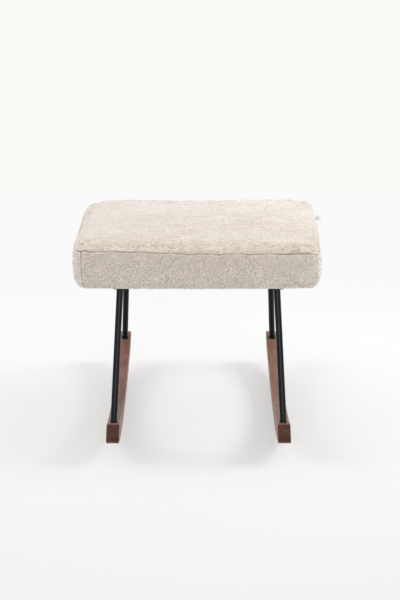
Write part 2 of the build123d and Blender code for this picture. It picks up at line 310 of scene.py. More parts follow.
# Name, place, width and height in metres, and power in watts
softboxes = (
    ("overhead", (0.2, 0.5, 2.9), (2.6, 1.3), 7.7),
    ("left_box", (-2.2, 0.1, 1.4), (1.5, 1.5), 29),
    ("right_box", (2.2, 0.2, 1.6), (0.9, 0.9), 38),
    ("front_box", (0.3, -3.2, 1.2), (2.4, 1.4), 29.5),
)
for name, place, size, power in softboxes:
    lamp = new_object(name, bpy.data.lights.new(name, "AREA"))
    lamp.data.shape = "RECTANGLE"
    lamp.data.size, lamp.data.size_y = size
    lamp.data.energy = power
    lamp.location = place
    lamp.rotation_euler = (aim - Vector(place)).to_track_quat("-Z", "Y").to_euler()
bpy.context.scene.view_settings.view_transform = "Standard"
print("lamps:", [name for name, *rest in softboxes])

# %% [markdown]
# ## Walnut
# The rockers are sawn from a walnut board along its length, so the grain runs from front to rear
# and leaves the wood at their curved ends. A solid pattern does that by itself: streaks drawn out
# along Y show as lines on the top and cheeks and as rings and dots on the end grain. The sawn ends
# drink more stain, so they are darker and duller, and they are painted darker still as painted
# shade, because they face away from the lamps. Fine dark pores and a satin lacquer finish the wood.

# %% Mix the walnut
walnut, tree, shader = new_material("walnut_satin", Coat_Roughness=0.24, Specular_IOR_Level=0.16)
along_grain = (1, 0.05, 1)
bands = noise(tree, 26, 4, 0.6, 0.8, along_grain)
streaks = noise(tree, 150, 6, 0.7, 0.3, along_grain)
pores = noise(tree, 900, 2, 0.6, stretch=(1, 0.02, 1))
heart = ramp(
    tree, bands,
    (0.30, (0.175, 0.079, 0.053)), (0.52, (0.255, 0.126, 0.089)), (0.72, (0.335, 0.182, 0.134)),
)
streak_tone = ramp(tree, streaks, (0.34, (0.66, 0.62, 0.60)), (0.60, WHITE))
pore_tone = ramp(tree, pores, (0.30, (0.45, 0.40, 0.38)), (0.42, WHITE))
wood = mix_colours(tree, 0.6, multiply(tree, heart, streak_tone), pore_tone, "MULTIPLY")
# The ends are darker partly from the stain they drink and partly as painted shade, as they face
# away from the lamps.
sawn_end = map_range(tree, facing(tree, "Y"), 0.6, 0.92)
end_stain_and_shade = mix_colours(tree, sawn_end, WHITE, (0.31, 0.225, 0.185))
feed(
    tree, shader,
    Base_Color=multiply(tree, wood, end_stain_and_shade),
    Roughness=ramp(tree, streaks, (0.3, grey(0.46)), (0.7, grey(0.36))),
    Coat_Weight=map_range(tree, sawn_end, 0.0, 1.0, 0.12, 0.01),
    Normal=bump(tree, pores, 0.25, 0.15 * MM),
)
print("walnut mixed")

# %% [markdown]
# ## Metal finishes
# The legs, rails and collars have a glossy black powder coat, which flows out almost smooth and
# keeps a fine orange peel. The screws are dull black oxide, and the hidden nuts and washers bright
# zinc with a faint bluish cast. Each has a small relief and an uneven gloss of its own.


# %% Mix the metal finishes
def coated_metal(name, dark, light, rough, grain, relief, **shader_inputs):
    """A painted or plated metal: two close colours, two roughnesses and a fine relief."""
    material, tree, shader = new_material(name, **shader_inputs)
    cloud = noise(tree, 35, 3)
    feed(
        tree, shader,
        Base_Color=ramp(tree, cloud, (0.35, dark), (0.65, light)),
        Roughness=ramp(tree, cloud, (0.3, grey(rough[0])), (0.7, grey(rough[1]))),
        Normal=bump(tree, noise(tree, grain, 2), relief, 0.05 * MM),
    )
    return material


powder_coat = coated_metal(
    "black_powder_coat", (0.003, 0.004, 0.006), (0.004, 0.005, 0.007), (0.10, 0.16), 900, 0.04,
    Specular_IOR_Level=0.18, Specular_Tint=(0.86, 0.91, 1.0, 1.0),
)
black_oxide = coated_metal(
    "black_oxide", (0.020, 0.019, 0.018), (0.034, 0.032, 0.030), (0.38, 0.52), 2600, 0.4,
    Metallic=0.6,
)
zinc_plate = coated_metal(
    "zinc_plate", (0.50, 0.51, 0.53), (0.66, 0.66, 0.65), (0.26, 0.40), 1800, 0.3, Metallic=1.0
)
print("metals mixed")

# %% [markdown]
# ## Seat board
# The board is birch plywood. Its faces show long soft grain, and its edges the thin plies, light
# and dark in turn, which a wave along Z gives at the pitch of real veneers.

# %% Mix the plywood
ply_pitch = 1.4 * MM
plywood, tree, shader = new_material("birch_plywood", Roughness=0.62)
grain = noise(tree, 120, 5, 0.65, 0.5, (0.06, 1, 1))
face = ramp(tree, grain, (0.32, (0.45, 0.31, 0.18)), (0.66, (0.66, 0.50, 0.33)))
height = axis_of(tree, object_coordinates(tree), "Z")
ply = calculate(tree, "DIVIDE", calculate(tree, "PINGPONG", height, ply_pitch), ply_pitch)
plies = ramp(tree, ply, (0.40, (0.62, 0.56, 0.50)), (0.60, WHITE))
on_edge = calculate(tree, "LESS_THAN", facing(tree, "Z"), 0.5)
wood = mix_colours(tree, on_edge, face, plies, "MULTIPLY")
feed(tree, shader, Base_Color=wood, Normal=bump(tree, grain, 0.2, 0.2 * MM))
print("plywood mixed")

# %% Give the rigid parts their finish
finish_of_slot = {
    "walnut": walnut,
    "black_steel": powder_coat,
    "black_screws": black_oxide,
    "zinc_steel": zinc_plate,
    "plywood": plywood,
}
for subpart in frame["record"]["subparts"]:
    finish = finish_of_slot.get(subpart["material_slot"])
    if finish:
        node = frame["nodes"][subpart["node"]]
        node.data.materials.clear()
        node.data.materials.append(finish)
print("finished:", sorted(finish_of_slot))

# %% [markdown]
# ## The padded form
# The cover is cut from a top panel and four bands. In plan it is a rectangle with round corners,
# whose long sides bow out a little. Going up, the bands swell from the drawn-in hem to their widest
# and lean in again to the top seam, and there the crowned top panel starts with a round rim. One
# way to make this is to scale a cube and bevel it, but then nothing falls on the seams. So the mesh
# is built ring by ring from the sizes of the frame, with a ring along the top seam and a column
# along each upright seam, and finer steps beside them. A grid closes the top and the bottom.

# %% Take the sizes from the frame
half_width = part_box("cover_right")[1].x
half_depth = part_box("cover_rear")[1].y
hem_height, seam_height = [corner.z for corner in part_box("cover_front")]
crown_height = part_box("cover_top")[1].z
band_height = seam_height - hem_height
long_bow, short_bow = 3.5 * MM, 1.5 * MM
run_x, run_y = half_width - short_bow, half_depth - long_bow
corner_radius = 21 * MM
corner_arc = corner_radius * pi / 4    # half the way round a corner
least_radius = 6 * MM                  # of a corner far inside
hem_draw = 13 * MM
widest_rise = 48 * MM
seam_draw = 3.5 * MM
crown_fall = (3.0 * MM, 2.5 * MM)      # of the crown, at the middle of a side and of the front
pile_depth = 2.6 * MM                  # from the woven back to the tips of the pile
print(f"seat {half_width * 2:.3f} x {half_depth * 2:.3f} m, seam at {seam_height:.4f} m")


# %% Draw one outline
upright_place = 5 * MM        # of an upright seam, past the start of a corner's round
beside_upright = np.array([10, 5, 2, 0, -2, -5.5]) * MM    # columns before and past that seam
column_width = 8 * MM


def side_steps(half_run):
    """Places along one side, from corner to corner, with finer steps beside the upright seam."""
    straight = half_run - corner_radius
    seam = straight + upright_place
    inner = seam - beside_upright[0]
    count = round(2 * inner / column_width)
    end = np.append(seam - beside_upright[1:], straight + corner_arc - np.array([2.5 * MM, 0]))
    return np.concatenate([-end[::-1], np.linspace(-inner, inner, count + 1), end])


steps_x, steps_y = side_steps(run_x), side_steps(run_y)
count_x, count_y = len(steps_x) - 1, len(steps_y) - 1
ring_size = 2 * (count_x + count_y)


def outline(inset):
    """The outline in plan at an inset from the widest one, counter-clockwise from front left."""
    sides = (steps_x, run_x, half_depth, long_bow), (steps_y, run_y, half_width, short_bow)
    radius = max(corner_radius - inset / 2, least_radius)
    points = []
    for quarter in range(4):
        steps, half_run, half_out, bow = sides[quarter % 2]
        straight = half_run - corner_radius
        over = np.clip(np.abs(steps) - straight, 0, None) / corner_radius
        part = np.minimum(np.abs(steps) / straight, 1)
        along = np.sign(steps) * (part * (half_run - inset - radius) + radius * np.sin(over))
        out = half_out - inset - bow * part**2 - radius * (1 - np.cos(over))
        angle = quarter * pi / 2
        x = along * cos(angle) + out * sin(angle)
        y = along * sin(angle) - out * cos(angle)
        points.append(np.stack([x, y], 1)[:-1])
    return np.concatenate(points)


print("a ring has", ring_size, "points,", count_x, "steps at the front and", count_y, "at a side")


# %% Stack the rings into a closed form
def crown(x, y):
    """Height of the crowned top over a place in plan."""
    fall_x, fall_y = crown_fall
    return crown_height - fall_x * (x / half_width) ** 2 - fall_y * (y / half_depth) ** 2


def ring(inset, height, share=0, drop=0):
    """A ring at a height, or a share of the way from there to this drop under the crown."""
    x, y = outline(inset).T
    return np.stack([x, y, height + share * (crown(x, y) - drop - height)], 1)


def band_inset(rise):
    """How far a band draws in at a height above the hem."""
    if rise < widest_rise:
        return hem_draw * (1 - rise / widest_rise) ** 2.5
    return seam_draw * ((rise - widest_rise) / (band_height - widest_rise)) ** 2


def close_grid(edge, drop=None):
    """Inner points of a grid within a ring, blended from it, or at a drop under the crown."""
    around = np.concatenate([edge, edge[:1]])
    front = around[: count_x + 1]
    right = around[count_x : count_x + count_y + 1]
    rear = around[count_x + count_y : 2 * count_x + count_y + 1][::-1]
    left = around[2 * count_x + count_y :][::-1]
    u = ((front[:, 0] - front[0, 0]) / (front[-1, 0] - front[0, 0]))[:, None, None]
    v = ((right[:, 1] - right[0, 1]) / (right[-1, 1] - right[0, 1]))[None, :, None]
    grid = (1 - v) * front[:, None] + v * rear[:, None] + (1 - u) * left[None] + u * right[None]
    grid = grid - (1 - u) * (1 - v) * front[0] - u * (1 - v) * front[-1]
    grid = grid - (1 - u) * v * rear[0] - u * v * rear[-1]
    if drop is not None:
        grid[..., 2] = crown(grid[..., 0], grid[..., 1]) - drop
    return grid[1:-1, 1:-1].reshape(-1, 3)


def quads_of(number):
    """The four-sided faces of a grid of point numbers."""
    quads = np.stack([number[:-1, :-1], number[1:, :-1], number[1:, 1:], number[:-1, 1:]], -1)
    return quads.reshape(-1, 4).tolist()


def cap_faces(first_ring, first_inner):
    """Faces of a grid whose rim is a ring. They face up."""
    number = np.zeros((count_x + 1, count_y + 1), int)
    i = np.arange(count_x + 1)
    j = np.arange(count_y + 1)
    number[:, 0] = first_ring + i
    number[-1, :] = first_ring + count_x + j
    number[:, -1] = first_ring + 2 * count_x + count_y - i
    number[0, :] = first_ring + (2 * count_x + 2 * count_y - j) % ring_size
    inner = number[1:-1, 1:-1]
    inner[:] = first_inner + np.arange(inner.size).reshape(inner.shape)
    return quads_of(number)


def wall_faces(layers, size):
    """Faces between rings that lie one after the other, each with the same number of points."""
    i = np.arange(size)
    after = (i + 1) % size
    lowest = np.stack([i, after, size + after, size + i], 1)
    return np.concatenate([lowest + layer * size for layer in range(layers - 1)]).tolist()


def closed_form(name, rings, top_drop, bottom_drop=None):
    """A closed mesh from a stack of rings, with a grid at each end, crowned where it has a drop."""
    bottom, top = close_grid(rings[0], bottom_drop), close_grid(rings[-1], top_drop)
    ring_points = len(rings) * ring_size
    faces = wall_faces(len(rings), ring_size)
    faces += [face[::-1] for face in cap_faces(0, ring_points)]
    faces += cap_faces(ring_points - ring_size, ring_points + len(bottom))
    return mesh_object(name, np.concatenate([*rings, bottom, top]), faces)


print("band", round(band_height, 4), "m high, crown", round(crown_height - seam_height, 4), "m")

# %% [markdown]
# ## The cover before it is filled
# The rings of the woven back run from under the hem, up the bands, over the seam and the round rim
# to the crown. They lie a pile's depth inside the finished outline. The back dips in at the top
# seam, where the two panels are sewn together, and the seam wanders: over the front it starts high
# on the left and sinks to the right, as the photographed one does. Each point also remembers how
# far it is from the seams, because the pile and the creases need that later.

# %% Build the cover's back
rim_width = 9 * MM
rim_draw = 1.0 * MM           # the top panel's rim bulges out over the seam, nearly to the widest
crease_depth = 2.6 * MM
upper_draw = 0.6              # share of the bands' lean that is left once the cover is full
lower_fill = 2.2              # how quickly the lower half of a band comes out to its widest
hem_sink = 0.4                # share of the pile's depth at the hem
hem_run = 10 * MM
under_insets = [inset * MM for inset in (44, 32, 22, 16)]
band_rises = [rise * MM for rise in (0, 2.5, 6, 11, 18, 27, 37, 47, 56, 64, 71, 76, 79.3, 81.2)]
rim_angles = [radians(angle) for angle in (12, 32, 52, 72, 90)]

# Pairs of an inset and a share, which is -1 at the hem, 0 at the top seam and 1 on the crown
profile = [(inset, -1.0) for inset in under_insets]
for rise in band_rises:
    sunk = pile_depth * min(1, hem_sink + rise / hem_run)
    low_share = max(0, 1 - rise / widest_rise)
    drawn = band_inset(rise) * (low_share**lower_fill if low_share else upper_draw)
    profile.append((drawn + sunk, rise / band_height - 1))
seam_ring = len(profile)
profile.append((seam_draw * upper_draw + pile_depth + crease_depth, 0.0))
for angle in rim_angles:
    profile.append((rim_draw + pile_depth + rim_width * (1 - cos(angle)), sin(angle)))
print("profile of", len(profile), "rings, the seam is number", seam_ring)

front_lift = 3.6 * MM         # of the top seam, at the left end of the front
front_drop = 3.2 * MM         # of it, from the middle to the right end
side_drop = 4.0 * MM          # of it, along the two short sides


def clamp(values):
    """Values kept between 0 and 1."""
    return np.clip(values, 0, 1)


def seam_wander(x, y):
    """How far the top seam lies above its level at a place in plan."""
    left = clamp(-x / half_width)
    drop = front_drop * clamp(1 - 2 * left)
    ripple = 0.8 * MM * np.sin(x * 95) + 0.6 * MM * np.sin(x * 211 + 1.3)
    front = (front_lift * left - drop + ripple) * clamp(0.5 - y / half_depth) ** 2
    at_side = clamp((np.abs(x) - (half_width - 24 * MM)) / (12 * MM))
    return front - side_drop * at_side * (1 - clamp(np.abs(y) / half_depth) ** 5)


# A corner's place in plan, how far it is drawn in, how far it droops, how far that reaches, and the
# share of it that is left at the hem
corner_shapes = (
    ((-1, 1), 9 * MM, 8 * MM, 42 * MM, 0.0),
    ((1, 1), 0, 3.5 * MM, 34 * MM, 0.0),
    ((-1, -1), 2 * MM, 1.5 * MM, 40 * MM, 0.0),
    ((1, -1), 6.5 * MM, 2.5 * MM, 45 * MM, 0.9),
)


def settle_corners(points, share):
    """Draws the corners in and lets them droop, most at the top."""
    weight = clamp((share + 0.7) / 0.7) ** 1.5
    for (side_x, side_y), pull, droop, reach, low_share in corner_shapes:
        away = np.linalg.norm(points[:, :2] - (side_x * half_width, side_y * half_depth), axis=1)
        near = np.exp(-((away / reach) ** 2))
        drawn = near * pull * max(weight, low_share)
        points[:, :2] -= np.outer(drawn, (side_x, side_y)) / 2**0.5
        points[:, 2] -= near * droop * weight
    return points + cushion_shift


# How far each short side stands out, at places in depth from front to rear
side_depths = np.array([-194, -115, -60, 0, 100, 194]) * MM
side_fullness = {-1: (0, 3, 1.5, -1, 0, 0), 1: (0, 2, 4.5, 6, 6.5, 7)}    # in millimetres
cushion_shift = (-2 * MM, 0, 0)        # the cover sits a little to the left on its board
left_seam_x = run_x - corner_radius + upright_place
seam_lean = 4 * MM                     # of the front left seam, to the right on its way down
lean_reach = 14 * MM
rings = []
for inset, share in profile:
    points = ring(inset, seam_height + min(share, 0) * band_height, max(share, 0), pile_depth)
    points[:, 2] += seam_wander(points[:, 0], points[:, 1]) * (1 - abs(share)) ** 0.7
    from_left_seam = (points[:, 0] + left_seam_x) / lean_reach
    near_left_seam = np.exp(-(from_left_seam**2)) * (points[:, 1] < 0)
    points[:, 0] += seam_lean * near_left_seam * clamp(-share)
    for side, fullness in side_fullness.items():
        near = clamp((points[:, 0] * side / half_width - 0.8) / 0.2) ** 2
        points[:, 0] += side * near * np.interp(points[:, 1], side_depths, fullness) * MM
    rings.append(settle_corners(points, share))
cover = closed_form("cushion_cover", rings, pile_depth)
print("cover:", len(cover.data.vertices), "points in", len(rings), "rings")


# %% Note each point's distance from the seams
def read(items, key, width=1, kind=float):
    """One property of many items as an array."""
    flat = np.zeros(len(items) * width, kind)
    items.foreach_get(key, flat)
    return flat.reshape(-1, width) if width > 1 else flat


def store(mesh, name, values):
    """Writes a point attribute of one or three numbers a point."""
    values = np.asarray(values, np.float32)
    kind, key = ("FLOAT", "value") if values.ndim == 1 else ("FLOAT_VECTOR", "vector")
    mesh.attributes.new(name, kind, "POINT").data.foreach_set(key, values.ravel())


def run_along(path):
    """Length of the way from a path's start to each of its points."""
    return np.append(0, np.cumsum(np.linalg.norm(np.diff(path, axis=0), axis=1)))


# Signed run from the top seam to each ring, measured up the middle of the front
profile_run = run_along(np.array([points[count_x // 2] for points in rings]))
profile_run -= profile_run[seam_ring]

# Signed run round a ring from the nearest upright seam, negative on the front and rear. Three seams
# stand where the round of a corner has started, and the front right one in its middle.
long_side = np.abs(steps_x) - (run_x - corner_radius) - upright_place
short_side = 2 * corner_arc + (run_y - corner_radius) - np.abs(steps_y) - upright_place
to_middle = corner_arc - upright_place
front = long_side - to_middle * (steps_x > 0)
right = short_side - to_middle * (steps_y < 0)
ring_past = np.concatenate([side[:-1] for side in (front, right, long_side, short_side)])

above_seam = np.repeat(profile_run, ring_size)
past_seam = np.tile(ring_past, len(rings))
cap_size = (len(cover.data.vertices) - len(above_seam)) // 2
cap_points = np.abs(read(cover.data.vertices, "co", 3)[-cap_size:, :2])
from_last_ring = (np.abs(rings[-1][:, :2]).max(axis=0) - cap_points).min(axis=1).clip(0)
under = np.full(cap_size, profile_run[0])
above_seam = np.concatenate([above_seam, under, profile_run[-1] + from_last_ring])
past_seam = np.append(past_seam, np.full(2 * cap_size, -1.0))
store(cover.data, "above_seam", above_seam)
store(cover.data, "past_seam", past_seam)
print("the profile runs from", *profile_run[[0, -1]].round(4), "m from the seam")

# %% [markdown]
# ## Filling the cover
# Padding pushes a sewn cover out, and the seams hold it back, so a panel swells between its seams
# and puckers beside them. Moving points by hand could copy that, but cloth that is blown up from
# inside does it by itself. The cover is cut a little full, the seams and the underside are pinned,
# and no point may go further than the padding really would.

# %% Blow the cover up
cloth_settings = {
    "quality": 6,
    "mass": 0.25,
    "tension_stiffness": 12,
    "compression_stiffness": 12,
    "shear_stiffness": 6,
    "bending_stiffness": 0.4,
    "use_pressure": True,
    "uniform_pressure_force": 4,
    "shrink_min": -0.02,          # the cover is cut this share too large
    "vertex_group_mass": "sewn",
}
cloth_frames = 20


def fill_with_padding(piece, held, cap):
    """Runs cloth with pressure on a piece, its held points pinned, and keeps capped moves."""
    group = piece.vertex_groups.new(name="sewn")
    group.add(np.flatnonzero(held).tolist(), 1.0, "REPLACE")
    cloth = piece.modifiers.new("padding", "CLOTH")
    for words, value in cloth_settings.items():
        setattr(cloth.settings, words, value)
    cloth.settings.effector_weights.gravity = 0
    cloth.point_cache.frame_start, cloth.point_cache.frame_end = 1, cloth_frames
    for number in range(1, cloth_frames + 1):
        bpy.context.scene.frame_set(number)
    evaluated = piece.evaluated_get(bpy.context.evaluated_depsgraph_get())
    start = read(piece.data.vertices, "co", 3)
    move = read(evaluated.data.vertices, "co", 3) - start
    length = np.linalg.norm(move, axis=1, keepdims=True)
    move *= np.minimum(1, cap[:, None] / np.maximum(length, 1e-9))
    piece.modifiers.remove(cloth)
    piece.vertex_groups.remove(group)
    bpy.context.scene.frame_set(1)
    piece.data.vertices.foreach_set("co", (start + move).ravel())
    piece.data.update()
    mean, most = [round(float(value) / MM, 2) for value in (length.mean(), length.max())]
    print(piece.name, "moved", mean, "mm, at most", most)


seam_hold = 2.5 * MM
on_band = above_seam < 0
sewn = (np.abs(above_seam) < seam_hold) | (above_seam < -band_height)
sewn |= on_band & (np.abs(past_seam) < seam_hold)
swell = np.where(on_band, 1.6 * MM, 4.5 * MM)      # the bands are stiffer than the wide top
fill_with_padding(cover, sewn, swell)

# %% [markdown]
# ## Creases
# The upright seams are cut in after the filling, because a seam is narrower than the cloth's own
# mesh. Edges that lie on a seam are marked as sharp for the subdivision, which rounds the rest.


# %% Press in the upright seams and smooth the cover
def unit(vectors):
    """The vectors at a length of one."""
    return vectors / np.maximum(np.linalg.norm(vectors, axis=1, keepdims=True), 1e-9)


def outward_from_middle(points):
    """The way out, level, from the line in the seat's middle that runs from side to side."""
    reach = half_width - half_depth
    beside = points[:, 0] - np.clip(points[:, 0], -reach, reach)
    return unit(np.stack([beside, points[:, 1], 0 * beside], 1))


def apply_modifiers(piece):
    """Makes the piece a plain mesh with what its modifiers do."""
    graph = bpy.context.evaluated_depsgraph_get()
    result = bpy.data.meshes.new_from_object(
        piece.evaluated_get(graph), preserve_all_data_layers=True, depsgraph=graph
    )
    piece.modifiers.clear()
    piece.data = result


def smooth(piece, levels):
    """Subdivides the piece and smooths its shading."""
    modifier = piece.modifiers.new("smooth", "SUBSURF")
    modifier.levels = modifier.render_levels = levels
    apply_modifiers(piece)
    piece.data.shade_smooth()


on_seam = 0.1 * MM
points = read(cover.data.vertices, "co", 3)
on_upright = on_band & (np.abs(past_seam) < on_seam) & (above_seam > -band_height)
points[on_upright] -= outward_from_middle(points)[on_upright] * crease_depth
cover.data.vertices.foreach_set("co", points.ravel())

seam_point = (np.abs(above_seam) < on_seam) | on_upright
along_seam = seam_point[read(cover.data.edges, "vertices", 2, int)].all(axis=1)
sharp = cover.data.attributes.new("crease_edge", "FLOAT", "EDGE")
sharp.data.foreach_set("value", 0.8 * along_seam)
smooth(cover, 2)
print("smooth cover:", len(cover.data.vertices), "points")

# %% [markdown]
# ## Pile
# The plush has a pile about a centimetre long, which was brushed: on the top it lies flat and
# points to the side, in long flat streaks, and on the bands it hangs and stands up more, so it
# looks grainy. Hair particles could do this, but they don't survive as a mesh. So each lock of hair
# is one small closed leaf of six faces, and a tree of geometry nodes sets thousands of them on the
# cover. It reads three things from the cover's points: where a panel lets pile grow, which way the
# pile lies, which is its nap, and how long it is. Along the top seam some tufts hang over the bare
# strip, and towards the rim and the corners the pile is shorter.

# %% Note where the pile grows and which way it lies
mesh = cover.data
points = read(mesh.vertices, "co", 3)
normals = read(mesh.vertices, "normal", 3)
x, y = points[:, 0], points[:, 1]
above = read(mesh.attributes["above_seam"].data, "value")
past = read(mesh.attributes["past_seam"].data, "value")
bare = 1.6 * MM                # half width of the strip along the top seam without pile
bare_upright = 1.4 * MM        # the same along an upright seam, which the pile nearly hides
under_hem = -band_height + 1 * MM
ripple = np.sin(x * 120 + y * 90) + np.sin(x * 290 - y * 210 + 1)
along = x + 0.8 * y
tufted = np.sin(along * 830 + 2) + np.sin(along * 1370)      # tufts that hang over the seam
parting = np.clip(0.75 + 0.45 * ripple + 0.5 * tufted, 0, 1.6)
parting *= np.clip((half_width + 12 * MM - np.abs(x)) / (60 * MM), 0.25, 1)
on_top = above > bare * parting
on_wall = (above < -0.6 * bare * parting) & (above > under_hem)
panel_masks = {
    "top": on_top,
    "front": on_wall & (past < -bare_upright) & (y < 0),
    "rear": on_wall & (past < -bare_upright) & (y > 0),
    "left": on_wall & (past > bare_upright) & (x < 0),
    "right": on_wall & (past > bare_upright) & (x > 0),
}
for panel, mask in panel_masks.items():
    store(mesh, "grow_" + panel, mask)

top_nap, band_nap, rim_fall = (1.0, 0.12, 0), (0.15, 0, -1.0), (0.0, 0, -0.25)
rim_share = clamp(1 - (above - bare) / (16 * MM))[:, None] * on_top[:, None]
hem_share = clamp((14 * MM - (above + band_height)) / (12 * MM))[:, None] * on_wall[:, None]
along_band = np.stack([-normals[:, 1], normals[:, 0], 0 * x], 1)
nap = np.where(on_top[:, None], top_nap, band_nap)
nap = nap * (1 - 0.9 * hem_share) + along_band * hem_share
nap = nap * (1 - 0.75 * rim_share) + (normals * (0.8, 0.8, 0) + rim_fall) * rim_share
nap -= normals * (nap * normals).sum(axis=1, keepdims=True)
store(mesh, "nap", unit(nap))

from_rim = clamp((above - bare) / (42 * MM))
to_corner = np.hypot(np.abs(x) - half_width, np.abs(y) - half_depth)
corner_share = 1 - 0.4 * np.exp(-((to_corner / (30 * MM)) ** 2))
store(mesh, "long_share", np.where(on_top, (0.36 + 0.64 * from_rim) * corner_share, 1.0))
print({panel: int(mask.sum()) for panel, mask in panel_masks.items()}, "points of", len(points))

# %% Shape one lock
# A bent leaf of unit length along Z and unit width along X. It rises one unit from the cloth along
# Y, and its root is sunk in.
fold_line = 0.42
lock_points = [
    (0, -0.4, 0), (-0.5, -0.2, fold_line), (0.5, -0.2, fold_line), (0, 1.0, fold_line), (0, 0.4, 1)
]
lock_faces = [(0, 2, 1), (0, 3, 2), (0, 1, 3), (4, 1, 2), (4, 2, 3), (4, 3, 1)]
lock = mesh_object("pile_lock", lock_points, lock_faces)
store(lock.data, "tip", [point[2] for point in lock_points])
lock.data.shade_smooth()
print("a lock has", len(lock_faces), "faces")

# %% [markdown]
# ## Two trees of geometry nodes
# One tree grows the pile and another makes rows of small things, and both end alike: an item is set
# on points, made real and given its finish. The pile's tree has named inputs for what differs
# between the panels: how close the locks stand, how long, wide and high they are, how much they
# wander from the nap and how much they rise from the cloth. A cloudy pattern turns whole patches of
# locks the same way, as a hand leaves them.


# %% Write what both trees need
def new_tree(name, **inputs):
    """A tree with named inputs, and their sockets. Each input is given with its kind."""
    tree = bpy.data.node_groups.new(name, "GeometryNodeTree")
    for words, kind in inputs.items():
        tree.interface.new_socket(words, in_out="INPUT", socket_type="NodeSocket" + kind)
    tree.interface.new_socket("Result", in_out="OUTPUT", socket_type="NodeSocketGeometry")
    return tree, add_node(tree, "NodeGroupInput").outputs


def remembered(tree, name, kind="FLOAT"):
    """What the points remember under a name."""
    made = add_node(tree, "GeometryNodeInputNamedAttribute", {"Name": name}, data_type=kind)
    return made.outputs["Attribute"]


def vectors(tree, operation, first, *others):
    """A chain of sums on vectors, or on a vector and its scale."""
    slot = "Scale" if operation == "SCALE" else 1
    for other in others:
        made = add_node(tree, "ShaderNodeVectorMath", {0: first, slot: other}, operation=operation)
        first = made.outputs["Vector"]
    return first


def random_vector(tree, low, high, seed):
    """A vector between two others, by chance."""
    inputs = {0: low, 1: high, "Seed": seed}
    made = add_node(tree, "FunctionNodeRandomValue", inputs, data_type="FLOAT_VECTOR")
    return made.outputs["Value"]


def turned(tree, axis, vector, second_axis, facing):
    """The turn that lays one axis along a vector and then points a second one."""
    kind = "FunctionNodeAlignRotationToVector"
    first = add_node(tree, kind, {"Vector": vector}, axis=axis).outputs["Rotation"]
    inputs = {"Rotation": first, "Vector": facing}
    return add_node(tree, kind, inputs, axis=second_axis, pivot_axis=axis).outputs["Rotation"]


def set_items(tree, points, item, rotation, scale):
    """The item on every point."""
    shape = add_node(tree, "GeometryNodeObjectInfo", {"Object": item}).outputs["Geometry"]
    inputs = {"Points": points, "Instance": shape, "Rotation": rotation, "Scale": scale}
    return add_node(tree, "GeometryNodeInstanceOnPoints", inputs).outputs["Instances"]


def hand_out(tree, instances, finish):
    """Makes the instances real, gives them their finish and ends the tree."""
    real = add_node(tree, "GeometryNodeRealizeInstances", {"Geometry": instances})
    inputs = {"Geometry": real.outputs["Geometry"], "Material": finish}
    painted = add_node(tree, "GeometryNodeSetMaterial", inputs)
    add_node(tree, "NodeGroupOutput", {"Result": painted.outputs["Geometry"]})


def grown(name, carrier, tree, **inputs):
    """A plain mesh object from a node tree on a copy of its carrier."""
    made = new_object(name, carrier.data.copy())
    modifier = made.modifiers.new("nodes", "NODES")
    modifier.node_group = tree
    for words, value in inputs.items():
        modifier[tree.interface.items_tree[words].identifier] = value
    apply_modifiers(made)
    made.data.materials.pop(index=0)      # the item's own slot, which is empty
    made.data.name = name
    print(name, len(made.data.polygons), "faces")
    return made


# %% Plant the pile's tree
lowest_mask = 0.6             # of a panel's mask, where pile still grows
closeness = 3.0               # tries for each lock, so that the spacing is filled
cloud_scale = 38.0
least_share, most_share = (0.7, 0.6, 0.65), (1.3, 1.15, 1.25)   # of a lock's width, height, length
size_seed, tone_seed = 7, 3

tree, given = new_tree(
    "pile",
    Cover="Geometry", Panel="String", Spacing="Float", Length="Float", Width="Float",
    Height="Float", Wander="Float", Rise="Float", Patches="Float", Seed="Int", Lock="Object",
    Plush="Material",
)
grows = calculate(tree, "GREATER_THAN", remembered(tree, given["Panel"]), lowest_mask)
area = calculate(tree, "MULTIPLY", given["Spacing"], given["Spacing"])
scatter = {
    "Mesh": given["Cover"],
    "Selection": grows,
    "Distance Min": given["Spacing"],
    "Density Max": calculate(tree, "DIVIDE", closeness, area),
    "Seed": given["Seed"],
}
settings = {"distribute_method": "POISSON", "use_legacy_normal": False}
roots = add_node(tree, "GeometryNodeDistributePointsOnFaces", scatter, **settings).outputs

here = add_node(tree, "GeometryNodeInputPosition").outputs["Position"]
clouds = {"Vector": here, "Scale": cloud_scale, "Detail": 2.0}
cloud = add_node(tree, "ShaderNodeTexNoise", clouds).outputs["Color"]
patch = vectors(tree, "SUBTRACT", cloud, (0.5, 0.5, 0.5))
any_way = random_vector(tree, (-1.0, -1.0, -1.0), (1.0, 1.0, 1.0), given["Seed"])
way = vectors(
    tree, "ADD",
    remembered(tree, "nap", "FLOAT_VECTOR"),
    vectors(tree, "SCALE", patch, given["Patches"]),
    vectors(tree, "SCALE", any_way, given["Wander"]),
    vectors(tree, "SCALE", roots["Normal"], given["Rise"]),
)

sides = {"X": given["Width"], "Y": given["Height"], "Z": given["Length"]}
shares = {"X": 1.0, "Y": 1.0, "Z": remembered(tree, "long_share")}
size = vectors(
    tree, "MULTIPLY",
    add_node(tree, "ShaderNodeCombineXYZ", sides).outputs["Vector"],
    random_vector(tree, least_share, most_share, size_seed),
    add_node(tree, "ShaderNodeCombineXYZ", shares).outputs["Vector"],
)
locks = set_items(
    tree, roots["Points"], given["Lock"], turned(tree, "Z", way, "Y", roots["Normal"]), size
)
chance = add_node(tree, "FunctionNodeRandomValue", {"Seed": tone_seed}, data_type="FLOAT")
tone = {"Geometry": locks, "Name": "tone", "Value": chance.outputs[1]}
settings = {"data_type": "FLOAT", "domain": "INSTANCE"}
toned = add_node(tree, "GeometryNodeStoreNamedAttribute", tone, **settings)
hand_out(tree, toned.outputs["Geometry"], given["Plush"])
pile_tree = tree
print("pile tree:", len(tree.nodes), "nodes")
